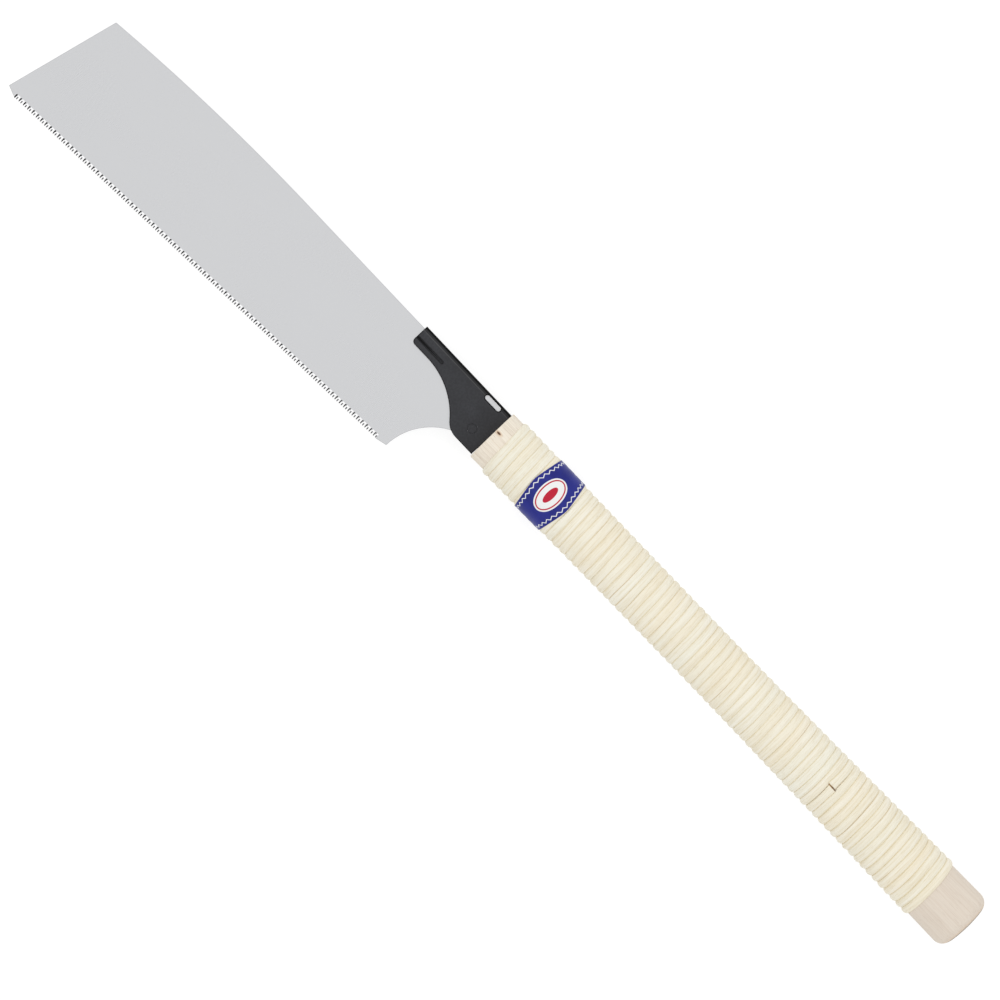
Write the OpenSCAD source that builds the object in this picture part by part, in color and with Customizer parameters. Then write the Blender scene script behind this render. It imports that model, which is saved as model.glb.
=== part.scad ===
// Kataba saw: a single-edge pull saw with a swap-out blade.
// The blade hooks over a pin inside a folded steel holder and swings up into the fold.
// The holder's tang is pinned into an oval wooden handle bound with half-round rattan.
// The saw lies flat: +X runs from the toe to the butt, +Y from the teeth to the back.

/* [Blade] */
// Thickness of the blade plate
blade_t = 0.6; // [0.4:0.1:1]
// Length of the toothed stretch of the edge
edge_len = 253.5; // [180:1.5:330]
// Distance from one tooth to the next
tooth_pitch = 1.5; // [1.2:0.1:3]
// Height of a tooth from its root to its tip
tooth_h = 2.3; // [1.2:0.1:3.5]
// Sideways set of each tooth tip, to one side and the other in turn
tooth_set = 0.15; // [0.05:0.05:0.3]
// Height of the unbroken strip above the tooth roots
root_band = 1; // [0.5:0.1:3]
// Slope of the tooth line against the back
edge_angle = 3.3; // [1:0.1:6]
// Plain edge between the last tooth and the heel corner
heel_flat = 6.5; // [3:0.1:12]
// Rise of the plain heel edge from the tooth line
heel_flat_angle = 10.5; // [2:0.5:20]
// Plain edge between the first tooth and the toe corner
toe_flat = 7.1; // [3:0.1:12]
// Rise of the plain toe edge from the tooth line
toe_flat_angle = 23; // [5:1:30]
// Lean of the toe edge from upright
toe_angle = 13; // [0:0.2:25]
// Radius of the curve that drops the back towards the toe
back_arc_r = 1275; // [800:25:3000]
// Distance ahead of the handle where that curve starts
back_arc_start = 150; // [90:1:200]
// Radius of the hollow at the heel
heel_r = 33.4; // [28:0.2:36]
// Distance of the heel corner below the handle axis
heel_drop = 42.8; // [38:0.2:48]

/* [Blade tail] */
// Distance of the tail's end ahead of the handle
tail_gap = 2.5; // [1.5:0.1:4]
// Distance of the tail's sloped relief ahead of the handle, along the back
tail_relief = 5.2; // [4.5:0.1:6]
// Drop of that relief at the tail's end
tail_relief_drop = 8.5; // [4:0.5:12]
// Height of the pin's centre above the top of the heel hollow
pin_lift = 4.3; // [3.8:0.1:6]

/* [Holder] */
// Length of the holder ahead of the handle
holder_len = 63; // [55:1:80]
// Thickness of the holder's sheet steel
sheet_t = 1.2; // [0.8:0.1:1.6]
// Clearance on each side of the blade between the cheeks
blade_play = 0.1; // [0.05:0.05:0.3]
// Height of the holder's spine above the handle axis
spine_y = 14.1; // [13:0.1:15]
// Depth of the cheeks beside the handle
holder_depth = 28.4; // [26:0.2:30]
// Depth of the cheeks at the nose
nose_depth = 11; // [9:0.2:13]
// Length of the nose's straight lower edge
nose_flat = 11.6; // [8:0.2:16]
// Radius of the rounded corner under the nose
nose_corner_r = 2.2; // [1:0.1:4]
// Radius of the hollow sweep from the nose to the deep end
sweep_r = 42; // [36:1:50]
// Radius of the rounded corner at the deep end
corner_r = 11; // [6:0.5:14]
// Clearance between the cheeks and the front of the handle
holder_gap = 0.2; // [0.1:0.1:0.6]
// Slope of the holder's spine against the handle axis
neck_cant = 0.6; // [0:0.1:2]

/* [Holder details] */
// Length of the window through both cheeks
window_len = 10.4; // [8:0.2:13]
// Width of the window
window_w = 2.4; // [2:0.1:3.6]
// Distance of the window's centre ahead of the handle
window_x = 11.4; // [10:0.2:14]
// Drop of the window's centre below the spine
window_drop = 2.6; // [2.4:0.1:4]
// Length of the pressed crease at the nose
crease_len = 18.5; // [10:0.5:26]
// Drop of the crease below the spine
crease_drop = 7.2; // [6:0.1:8]
// Depth of the crease
crease_depth = 0.35; // [0.1:0.05:0.5]
// Radius of the tool that pressed the crease
crease_r = 0.9; // [0.6:0.1:1.5]
// Diameter of the hook pin
pin_d = 5; // [4:0.1:5.6]
// Distance of the hook pin ahead of the handle
pin_x = 9.35; // [8.6:0.05:11]
// Chamfer on the ends of the hook pin
pin_chamfer = 0.15; // [0.1:0.05:0.4]
// Clearance round a fixed pin in its hole
pin_fit = 0.02; // [0.01:0.01:0.05]
// Running clearance between the hook and its pin
hook_fit = 0.05; // [0.02:0.01:0.1]

/* [Tang] */
// Length of the holder's tang inside the handle
tang_len = 62; // [45:1:90]
// Width of the tang
tang_w = 20; // [14:0.5:22]
// Cut across the corners of the tang's end
tang_chamfer = 4; // [2:0.5:6]
// Clearance round the tang in its mortise
tang_fit = 0.15; // [0.05:0.05:0.4]
// Diameter of the pins through the handle and the tang
tang_pin_d = 2.5; // [2:0.1:4]
// Distance of the first tang pin from the handle's front
tang_pin_first = 18; // [12:1:22]
// Distance between the tang pins
tang_pin_step = 28; // [16:1:30]
// Distance of the pin ends below the handle's surface
tang_pin_inset = 0.4; // [0.2:0.1:1]

/* [Handle] */
// Length of the wooden core
handle_len = 349.4; // [280:0.5:400]
// Width of the core at the front
front_w = 31; // [29.6:0.1:34]
// Width of the core at its waist
waist_w = 29.3; // [27:0.1:32]
// Width of the core at the butt
butt_w = 33.9; // [31:0.1:38]
// Thickness of the core at both ends
end_t = 24.5; // [22:0.1:28]
// Thickness of the core at its waist
waist_t = 23.2; // [21:0.1:26]
// Distance of the waist from the front
waist_x = 150; // [110:1:180]
// Eased edge round the front end
front_ease = 0.6; // [0.2:0.1:1.5]
// Radius of the rounded edge round the butt
butt_r = 6; // [2:0.1:8]
// Height of the butt's dome above that edge
butt_dome = 1.1; // [0.5:0.1:3]

/* [Rattan] */
// Bare wood ahead of the wrapping
bare_front = 5.9; // [4:0.1:15]
// Bare wood behind the wrapping
bare_butt = 24.9; // [15:0.1:40]
// Turns in the first strip
strip_1_turns = 18; // [14:0.5:24]
// Turns in the second strip
strip_2_turns = 17; // [14:0.5:24]
// Turns in the third strip
strip_3_turns = 17.5; // [14:0.5:24]
// Turns in the fourth strip
strip_4_turns = 16.5; // [14:0.5:24]
// Thickness of the half-round strip
reed_h = 1.3; // [0.9:0.1:2]
// Gap between one turn and the next
reed_gap = 0.5; // [0.45:0.05:1]
// Gap between the ends of two strips
splice_gap = 0.6; // [0.45:0.05:1.5]
// Clearance between the strip and the wood
reed_fit = 0.1; // [0.05:0.05:0.3]
// Depth of the flat on the turns that the saw lies on
rest_flat = 0.5; // [0.3:0.1:0.6]

/* [Label] */
// Distance of the label's middle from the handle's front
label_x = 42.7; // [30:0.1:80]
// Width of the label at its middle
label_w = 23.4; // [14:0.2:30]
// How far each edge draws in over a quarter turn
label_draw = 2.5; // [0:0.1:4]
// Angle that the label goes round the handle
label_turn = 310; // [190:10:310]
// Thickness of the label
label_t = 0.2; // [0.1:0.05:0.4]
// Clearance between the label and the strip under it
label_fit = 0.15; // [0.05:0.05:0.3]

/* [Hidden] */
$fn = 96;
// Overrun of a cutting shape past the face that it cuts
over = 1;

// Holder section: the blade's gap between two cheeks, closed by the fold along the spine
cheek_gap = blade_t + 2*blade_play;
holder_t = cheek_gap + 2*sheet_t;
fold_y = spine_y - holder_t/2;
low_y = spine_y - holder_depth;
nose_y = spine_y - nose_depth;

// The sweep's circle touches the nose edge, and the corner's circle touches the sweep and the lower edge
sweep_c = [-holder_len + nose_flat, nose_y - sweep_r];
corner_rise = low_y + corner_r - sweep_c.y;
corner_c = sweep_c + [sqrt(pow(sweep_r + corner_r, 2) - corner_rise*corner_rise), corner_rise];
corner_touch = sweep_c + (corner_c - sweep_c)*sweep_r/(sweep_r + corner_r);

// Blade outline: the back lies in the fold, and the hook pin stands above the heel hollow
back_y = fold_y;
heel_c = [0, -heel_drop];
heel = heel_c - [heel_r, 0];
pin = [-pin_x, heel_c.y + heel_r + pin_lift];
tail_r = back_y - pin.y;
teeth = floor(edge_len/tooth_pitch);
tooth_run = teeth*tooth_pitch;
along_edge = [cos(edge_angle), sin(edge_angle)];
along_heel = [cos(edge_angle + heel_flat_angle), sin(edge_angle + heel_flat_angle)];
last_tip = heel - heel_flat*along_heel;
first_tip = last_tip - tooth_run*along_edge;
toe_bearing = 180 + edge_angle - toe_flat_angle;
toe_low = first_tip + toe_flat*[cos(toe_bearing), sin(toe_bearing)];
// The toe edge leans from its low corner up to the curve of the back
toe_reach = [back_y - back_arc_r - toe_low.y, -back_arc_start - toe_low.x];
toe_off = toe_reach[1]*cos(toe_angle) - toe_reach[0]*sin(toe_angle);
toe_len = toe_reach[0]*cos(toe_angle) + toe_reach[1]*sin(toe_angle)
    + sqrt(back_arc_r*back_arc_r - toe_off*toe_off);
back_arc_run = -back_arc_start - toe_low.x - toe_len*sin(toe_angle);
back_steps = 24;
tail_steps = 6;

// Tooth form, as shares of the pitch and height: the shoulder of the top bevel, the tip,
// and the depth at which the two side bevels meet on the inner face
shoulder_u = 0.42;
shoulder_v = 0.8;
tip_u = 0.8;
inner_v = 0.62;
back_slope = shoulder_u/shoulder_v;
front_slope = 1 - tip_u;
bevel_u = (1 - inner_v*(back_slope + front_slope))/2;
// The root strip runs this far into the plate, which it is one piece with
root_lap = 0.1;

// Rattan: straight facets round the handle, whose middles touch the oval, half a facet off the axes
facets = 12;
facet_grow = 1/cos(180/facets);
strip_turns = [strip_1_turns, strip_2_turns, strip_3_turns, strip_4_turns];
function turns_before(k) = k == 0 ? 0 : strip_turns[k - 1] + turns_before(k - 1);
reed_turns = turns_before(len(strip_turns));
reed_pitch = (handle_len - bare_front - bare_butt + reed_gap)/(reed_turns + 1);
reed_w = reed_pitch - reed_gap;
reed_outer = reed_fit + reed_h;
// Angles of the half-round section's points, from one edge of its flat side to the other
reed_angles = [180, 130, 90, 50, 0];
rest_z = -end_t/2 - reed_outer + rest_flat;

// Wooden core: stations along the waisted stretch and round the butt, with this many sides
core_sides = 40;
waist_steps = 14;
butt_steps = 5;
dome_steps = 3;
// Share of the butt's width that its last flat facet takes
dome_tip = 0.3;
function waist_share(x) =
    x < waist_x
        ? pow((waist_x - x)/waist_x, 2)
        : let (u = min(1, (x - waist_x)/(handle_len - waist_x))) u*u*(2 - u);
function core_w(x) = waist_w + ((x < waist_x ? front_w : butt_w) - waist_w)*waist_share(x);
function core_t(x) = waist_t + (end_t - waist_t)*waist_share(x);
// Point at angle t round the core, standing off its surface by out
function round_core(x, t, out, grow = 1) =
    [x, (core_w(x)/2 + out)*grow*cos(t), (core_t(x)/2 + out)*grow*sin(t)];

// Points at a share of the way from one section to the next
function between(a, b, share) = [for (i = [0:len(a) - 1]) a[i] + (b[i] - a[i])*share];
// Reed section at facet corner j, counted along the whole winding, as a list of points
function corner_ring(j) =
    let (turn = (j + 0.5)/facets,
         middle = bare_front + reed_w/2 + reed_pitch*turn)
    [for (a = reed_angles)
        let (p = round_core(middle - reed_w/2*cos(a), 360*turn - 90, reed_fit + reed_h*sin(a), facet_grow))
        [p.x, p.y, max(p.z, rest_z)]];
// Reed section at any place along the winding: between two corners the strip runs straight
function reed_ring(v) = between(corner_ring(floor(v)), corner_ring(floor(v) + 1), v - floor(v));
function strip_rings(k) =
    let (end_cut = splice_gap/2/(PI*(waist_w + waist_t)/2/facets),
         from = facets*turns_before(k) - 0.5 + end_cut,
         to = facets*turns_before(k + 1) - 0.5 - end_cut)
    [reed_ring(from), for (j = [ceil(from):floor(to)]) corner_ring(j), reed_ring(to)];
function ring_gap(a, b) = min([for (p = a) for (q = b) norm(p - q)]);
// Least distance between the points of one turn and those of the next
function least_gap(rings) =
    min([for (i = [1:len(rings) - facets - 2]) for (near = [-1:1])
        ring_gap(rings[i], rings[min(i + facets + near, len(rings) - 2)])]);

// Place of the saw: the middle of its box at the height of what it lies on
function neck_point(p) =
    [p.x*cos(neck_cant) + p.y*sin(neck_cant), p.y*cos(neck_cant) - p.x*sin(neck_cant)];
reed_top = max([for (k = [0:len(strip_turns) - 1]) for (r = strip_rings(k)) for (p = r) p.y]);
mid_x = (handle_len + neck_point(toe_low).x)/2;
mid_y = (reed_top + neck_point(first_tip).y)/2;

module place() {
    translate([-mid_x, -mid_y, -rest_z]) children();
}

// The holder, its pin and the blade share one slope against the handle
module neck() {
    rotate([0, 0, -neck_cant]) children();
}

// Closed skin through sections of equal point counts, each listed the same way round
module skin(sections) {
    n = len(sections);
    k = len(sections[0]);
    last = (n - 1)*k;
    polyhedron(
        points = [for (s = sections) each s],
        faces = [
            for (i = [0:n - 2]) for (j = [0:k - 1])
                let (a = i*k + j, b = i*k + (j + 1)%k)
                each [[a, b, b + k], [a, b + k, a + k]],
            for (j = [1:k - 2]) each [[0, j + 1, j], [last, last + j, last + j + 1]]
        ]);
}

// Row of teeth under its root strip, from the first tip, with y up from the tip line.
// Teeth lean to one side and the other in turn, and each is filed on both edges from its
// inner side, so that it cuts with the outer one.
module tooth_band() {
    per_tooth = 9;
    bevel = bevel_u*tooth_pitch;
    top = tooth_h + root_band + root_lap;
    function side(i) = i%2 == 0 ? 1 : -1;
    function set_at(y) = tooth_set*(tooth_h - y)/tooth_h;
    function tooth_points(i) =
        let (u = i*tooth_pitch,
             s = side(i),
             shoulder_y = (1 - shoulder_v)*tooth_h,
             inner_y = (1 - inner_v)*tooth_h,
             inner_u = u + bevel + inner_v*back_slope*tooth_pitch,
             outer_z = s*blade_t/2,
             inner_z = -s*blade_t/2)
        [[u, tooth_h, outer_z],
         [u + shoulder_u*tooth_pitch, shoulder_y, outer_z + s*set_at(shoulder_y)],
         [u + tip_u*tooth_pitch, 0, outer_z + s*set_at(0)],
         [u + tooth_pitch, tooth_h, outer_z],
         [u + bevel, tooth_h, inner_z],
         [inner_u, inner_y, inner_z + s*set_at(inner_y)],
         [u + tooth_pitch - bevel, tooth_h, inner_z],
         [u, top, blade_t/2],
         [u, top, -blade_t/2]];
    end = teeth*per_tooth;
    end_points =
        [[tooth_run, top, blade_t/2],
         [tooth_run, top, -blade_t/2],
         [0, tooth_h, -side(0)*blade_t/2],
         [tooth_run, tooth_h, -side(teeth - 1)*blade_t/2]];
    first_floor = end + 2;
    last_floor = end + 3;
    // Faces of a tooth that leans to +Z, turned about for one that leans the other way
    function turned(s, face) = s > 0 ? [face[0], for (i = [len(face) - 1:-1:1]) face[i]] : face;
    function fan(face) = [for (i = [1:len(face) - 2]) [face[0], face[i], face[i + 1]]];
    function tooth_faces(i) =
        let (s = side(i),
             o = i*per_tooth,
             root = [o, o + 3],
             inner_root = [o + 4, o + 6],
             upper = s > 0 ? [o + 7, o + 8] : [o + 8, o + 7],
             after = i < teeth - 1 ? o + per_tooth + 7 : end,
             upper_after = s > 0 ? [after, after + 1] : [after + 1, after],
             floor_before = i > 0 ? o - per_tooth + 3 : first_floor,
             floor_after = i < teeth - 1 ? o + per_tooth : last_floor)
        [for (face = [
            [o, o + 1, o + 2, o + 3],
            [o + 6, o + 5, o + 4],
            [o + 1, o, o + 4, o + 5],
            [o + 2, o + 1, o + 5],
            [o + 3, o + 2, o + 5, o + 6],
            [root[0], root[1], upper_after[0], upper[0]],
            [upper[1], upper_after[1], floor_after, inner_root[1], inner_root[0], floor_before],
            [upper[0], upper_after[0], upper_after[1], upper[1]],
            i < teeth - 1
                ? [o + 3, o + 6, o + per_tooth, o + per_tooth + 4]
                : [o + 3, o + 6, last_floor]
        ]) each fan(turned(s, face))];
    end_side = side(teeth - 1);
    end_upper = end_side > 0 ? [end, end + 1] : [end + 1, end];
    polyhedron(
        points = [for (i = [0:teeth - 1]) each tooth_points(i), each end_points],
        faces = [
            for (i = [0:teeth - 1]) each tooth_faces(i),
            turned(side(0), [4, 0, first_floor]),
            each fan(turned(side(0), [first_floor, 0, 7, 8])),
            each fan(turned(end_side, [end - per_tooth + 3, last_floor, end_upper[1], end_upper[0]]))
        ]);
}

// Flat outline of the blade without its toothed strip
module blade_outline() {
    // The back's drop towards the toe, from the toe corner to where it turns straight
    back_curve = [for (i = [0:back_steps])
        let (run = back_arc_run*(1 - i/back_steps))
        [-back_arc_start - run, back_y - back_arc_r + sqrt(back_arc_r*back_arc_r - run*run)]];
    // The tail's top keeps its distance from the pin, so that it clears the fold as it swings
    tail_top = [for (i = [0:tail_steps])
        let (run = (pin_x - tail_relief)*i/tail_steps)
        [pin.x + run, pin.y + sqrt(tail_r*tail_r - run*run)]];
    difference() {
        polygon(concat(back_curve, tail_top,
            [[-tail_gap, back_y - tail_relief_drop], [-tail_gap, heel_c.y],
             heel + heel_r/2*along_heel, last_tip, first_tip, toe_low]));
        translate(heel_c) circle(r = heel_r);
        translate(first_tip) rotate(edge_angle) translate([0, -over])
            square([tooth_run, tooth_h + root_band + over]);
        // Hook: a round seat over the pin, open below
        translate(pin) circle(d = pin_d + 2*hook_fit);
        translate([pin.x - pin_d/2 - hook_fit, heel_c.y]) square([pin_d + 2*hook_fit, pin.y - heel_c.y]);
    }
}

module saw_blade() {
    color([0.82, 0.82, 0.83]) place() neck() {
        linear_extrude(blade_t, center = true) blade_outline();
        translate(first_tip) rotate(edge_angle) tooth_band();
    }
}

// Side view of one cheek, up to the middle of the fold
module cheek_outline() {
    difference() {
        translate([-holder_len, low_y]) square([holder_len - holder_gap, fold_y - low_y]);
        translate([-holder_len - over, low_y - over]) square([nose_flat + over, nose_y - low_y + over]);
        translate(sweep_c) circle(r = sweep_r);
        translate([-holder_len, nose_y]) difference() {
            translate([-over, -over]) square(nose_corner_r + over);
            translate([nose_corner_r, nose_corner_r]) circle(r = nose_corner_r);
        }
        difference() {
            polygon([corner_c, corner_touch, [corner_touch.x, low_y - over], [corner_c.x, low_y - over]]);
            translate(corner_c) circle(r = corner_r);
        }
    }
}

// Outline of the tang with clearance all round, from inside the cheeks to its end
module tang_outline(fit) {
    half = tang_w/2 + fit;
    end = tang_len + fit;
    polygon([[-holder_gap - over, -half], [end - tang_chamfer, -half], [end, -half + tang_chamfer],
             [end, half - tang_chamfer], [end - tang_chamfer, half], [-holder_gap - over, half]]);
}

module at_tang_pins() {
    for (i = [0:1]) translate([tang_pin_first + i*tang_pin_step, 0, 0]) children();
}

module along_spine(r, from, to) {
    translate([from, fold_y, 0]) rotate([0, 90, 0]) cylinder(r = r, h = to - from);
}

module blade_holder() {
    color([0.23, 0.23, 0.24]) place() neck() difference() {
        union() {
            linear_extrude(holder_t, center = true) cheek_outline();
            along_spine(holder_t/2, -holder_len, -holder_gap);
            linear_extrude(holder_t, center = true) tang_outline(0);
        }
        // Room for the blade, open below and at both ends
        translate([-holder_len - over, low_y - over, -cheek_gap/2])
            cube([holder_len + tang_len + 2*over, fold_y - low_y + over, cheek_gap]);
        along_spine(cheek_gap/2, -holder_len - over, over);
        translate(pin) cylinder(d = pin_d + 2*pin_fit, h = holder_t + 2*over, center = true);
        translate([-window_x, spine_y - window_drop, 0]) window();
        for (s = [-1, 1])
            translate([-holder_len - over, spine_y - crease_drop, s*(holder_t/2 + crease_r - crease_depth)])
                crease();
        at_tang_pins() cylinder(d = tang_pin_d + 2*pin_fit, h = holder_t + 2*over, center = true);
    }
}

// Window with round ends
module window() {
    run = window_len - window_w;
    linear_extrude(holder_t + 2*over, center = true) {
        square([run, window_w], center = true);
        for (s = [-1, 1]) translate([s*run/2, 0]) circle(d = window_w);
    }
}

module crease() {
    rotate([0, 90, 0]) cylinder(r = crease_r, h = crease_len + over);
    translate([crease_len + over, 0, 0]) sphere(r = crease_r);
}

module hook_pin() {
    body = holder_t - 2*pin_chamfer;
    color([0.3, 0.3, 0.31]) place() neck() translate(pin) {
        cylinder(d = pin_d, h = body, center = true);
        for (s = [0, 180]) rotate([s, 0, 0]) translate([0, 0, body/2])
            cylinder(d1 = pin_d, d2 = pin_d - 2*pin_chamfer, h = pin_chamfer);
    }
}

module handle_core() {
    round_x = handle_len - butt_dome - butt_r;
    // Stations from the front: place along the handle, inset of the section there and its share
    stations = [
        [0, front_ease, 1],
        for (i = [0:waist_steps]) [front_ease + (round_x - front_ease)*i/waist_steps, 0, 1],
        for (i = [1:butt_steps])
            let (a = 90*i/butt_steps) [round_x + butt_r*sin(a), butt_r*(1 - cos(a)), 1],
        for (i = [1:dome_steps])
            let (share = 1 - (1 - dome_tip)*i/dome_steps)
            [handle_len - butt_dome*(share*share - dome_tip*dome_tip)/(1 - dome_tip*dome_tip), butt_r, share]
    ];
    color([0.9, 0.85, 0.78]) place() difference() {
        skin([for (s = stations)
            [for (i = [0:core_sides - 1]) round_core(s[0], 360*i/core_sides, -s[1], s[2])]]);
        neck() linear_extrude(holder_t + 2*tang_fit, center = true) tang_outline(tang_fit);
        neck() at_tang_pins() cylinder(d = tang_pin_d + 2*pin_fit, h = 2*end_t, center = true);
    }
}

module tang_pins() {
    color([0.6, 0.6, 0.6]) place() neck() at_tang_pins()
        cylinder(d = tang_pin_d, h = waist_t - 2*tang_pin_inset, center = true);
}

module rattan_strip(k) {
    rings = strip_rings(k);
    color([0.94, 0.91, 0.83]) place() skin(rings);
    echo(str("rattan strip ", k + 1, ": least gap between turns ", least_gap(rings), " mm"));
}
module rattan_strip_1() { rattan_strip(0); }
module rattan_strip_2() { rattan_strip(1); }
module rattan_strip_3() { rattan_strip(2); }
module rattan_strip_4() { rattan_strip(3); }

// Paper sheet over the facets of the wrapping, widest on top, whose ends stay apart underneath
module label() {
    inner = reed_outer + label_fit;
    function corner(j) =
        let (a = (j + 0.5)*360/facets, reach = label_w/2 - label_draw*abs(a)/90)
        [for (c = [[-reach, 0], [reach, 0], [reach, label_t], [-reach, label_t]])
            round_core(label_x + c[0], 90 + a, inner + c[1], facet_grow)];
    function sheet(v) = between(corner(floor(v)), corner(floor(v) + 1), v - floor(v));
    half = label_turn/2*facets/360;
    color([0.2, 0.24, 0.52]) place() skin([
        sheet(-half - 0.5),
        for (j = [floor(-half - 0.5) + 1:ceil(half - 0.5) - 1]) corner(j),
        sheet(half - 0.5)
    ]);
}

saw_blade();
blade_holder();
hook_pin();
handle_core();
tang_pins();
rattan_strip_1();
rattan_strip_2();
rattan_strip_3();
rattan_strip_4();
label();
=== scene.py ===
import math

import bpy
from mathutils import Matrix, Vector


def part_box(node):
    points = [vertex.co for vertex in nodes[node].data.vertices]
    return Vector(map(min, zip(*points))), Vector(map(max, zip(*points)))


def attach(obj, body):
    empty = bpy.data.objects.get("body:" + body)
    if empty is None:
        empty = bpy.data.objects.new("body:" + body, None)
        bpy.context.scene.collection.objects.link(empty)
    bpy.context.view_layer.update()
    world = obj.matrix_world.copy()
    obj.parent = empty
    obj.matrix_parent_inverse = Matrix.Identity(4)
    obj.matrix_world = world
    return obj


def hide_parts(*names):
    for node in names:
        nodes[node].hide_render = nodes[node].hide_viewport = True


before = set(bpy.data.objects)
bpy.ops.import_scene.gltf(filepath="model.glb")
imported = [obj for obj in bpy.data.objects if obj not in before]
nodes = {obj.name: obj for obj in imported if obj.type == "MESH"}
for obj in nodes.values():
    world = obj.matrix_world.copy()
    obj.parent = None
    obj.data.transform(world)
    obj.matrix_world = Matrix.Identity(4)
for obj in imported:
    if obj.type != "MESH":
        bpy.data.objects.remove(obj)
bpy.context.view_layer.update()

MM = 0.001
TO_BUTT = Vector((1, 0, 0))
UP = Vector((0, 0, 1))

# Handle: the oval's sizes along the axis, whose start is the front of the wood
FRONT_W = 31.0 * MM
WAIST_W = 29.3 * MM
BUTT_W = 33.9 * MM
END_T = 24.5 * MM
WAIST_T = 23.2 * MM
WAIST_X = 150 * MM
BUTT_R = 6.0 * MM
BUTT_DOME = 1.1 * MM
FRONT_EASE = 0.6 * MM
core_low, core_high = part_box("handle_core")
HANDLE_LEN = core_high.x - core_low.x
AXIS = Vector((core_low.x, (core_low.y + core_high.y) / 2, (core_low.z + core_high.z) / 2))

# Rattan: turns are counted along the whole winding, from its start under the front
STRIP_ENDS = (0, 18, 35, 52.5, 69)
TOP_SPLICE = STRIP_ENDS[3]
TURNS = STRIP_ENDS[-1]
REED_FROM = 5.9 * MM
REED_TO = HANDLE_LEN - 24.9 * MM
REED_H = 1.3 * MM
REED_FIT = 0.1 * MM
REED_PITCH = (REED_TO - REED_FROM) / (TURNS + 1)

# View: width of the picture at the blade, the handle's slope in it, and the place at its middle
VIEW_W = 511.2 * MM
VIEW_ANGLE = math.radians(46.011)
VIEW_AT = Vector((AXIS.x + 26.74 * MM, AXIS.y - 20.08 * MM, AXIS.z))
VIEW_DISTANCE = 1.55
SENSOR = 36.0


# Shape of the handle

def waist_share(x):
    if x < WAIST_X:
        return ((WAIST_X - x) / WAIST_X) ** 2
    u = min(1, (x - WAIST_X) / (HANDLE_LEN - WAIST_X))
    return u * u * (2 - u)


def half_width(x):
    return (WAIST_W + ((FRONT_W if x < WAIST_X else BUTT_W) - WAIST_W) * waist_share(x)) / 2


def half_thickness(x):
    return (WAIST_T + (END_T - WAIST_T) * waist_share(x)) / 2


def round_handle(x, angle, out, share=1.0):
    """Point at an angle round the handle's oval, standing off the wood by out."""
    return AXIS + Vector((x,
                          (half_width(x) + out) * share * math.cos(angle),
                          (half_thickness(x) + out) * share * math.sin(angle)))


def wander(u, *waves):
    """Smooth irregular wave of u, from (size, rate, phase) of its parts."""
    return sum(size * math.sin(rate * u + phase) for size, rate, phase in waves)


def smooth_step(low, high, value):
    t = min(1, max(0, (value - low) / (high - low)))
    return t * t * (3 - 2 * t)


def bell(value, spread):
    """1 where the value is 0, falling to nothing about two spreads away."""
    return math.exp(-(value / spread) ** 2)


# Meshes and objects

def closed_mesh(name, rows, fields=None):
    """Mesh through closed rows of points, with a face over the first row and one over the last.

    fields gives, by name, one number per point in the same rows.
    """
    cols = len(rows[0])
    points = [p for row in rows for p in row]
    faces = []
    for i in range(len(rows) - 1):
        for j in range(cols):
            a, b = i * cols + j, i * cols + (j + 1) % cols
            faces.append((a, b, b + cols, a + cols))
    last = (len(rows) - 1) * cols
    faces.append(tuple(range(cols - 1, -1, -1)))
    faces.append(tuple(range(last, last + cols)))
    mesh = bpy.data.meshes.new(name)
    mesh.from_pydata(points, [], faces)
    for field, values in (fields or {}).items():
        attribute = mesh.attributes.new(field, "FLOAT", "POINT")
        attribute.data.foreach_set("value", [v for row in values for v in row])
    mesh.update()
    return mesh


def shade(mesh, sharp_degrees=40):
    mesh.polygons.foreach_set("use_smooth", [True] * len(mesh.polygons))
    mesh.set_sharp_from_angle(angle=math.radians(sharp_degrees))


def new_object(name, data):
    obj = bpy.data.objects.new(name, data)
    bpy.context.scene.collection.objects.link(obj)
    return obj


def finish_piece(obj, material, replaced):
    """Set a piece on the handle in place of one of its solids."""
    obj.data.materials.append(material)
    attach(obj, "handle")
    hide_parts(replaced)


# Materials

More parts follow.
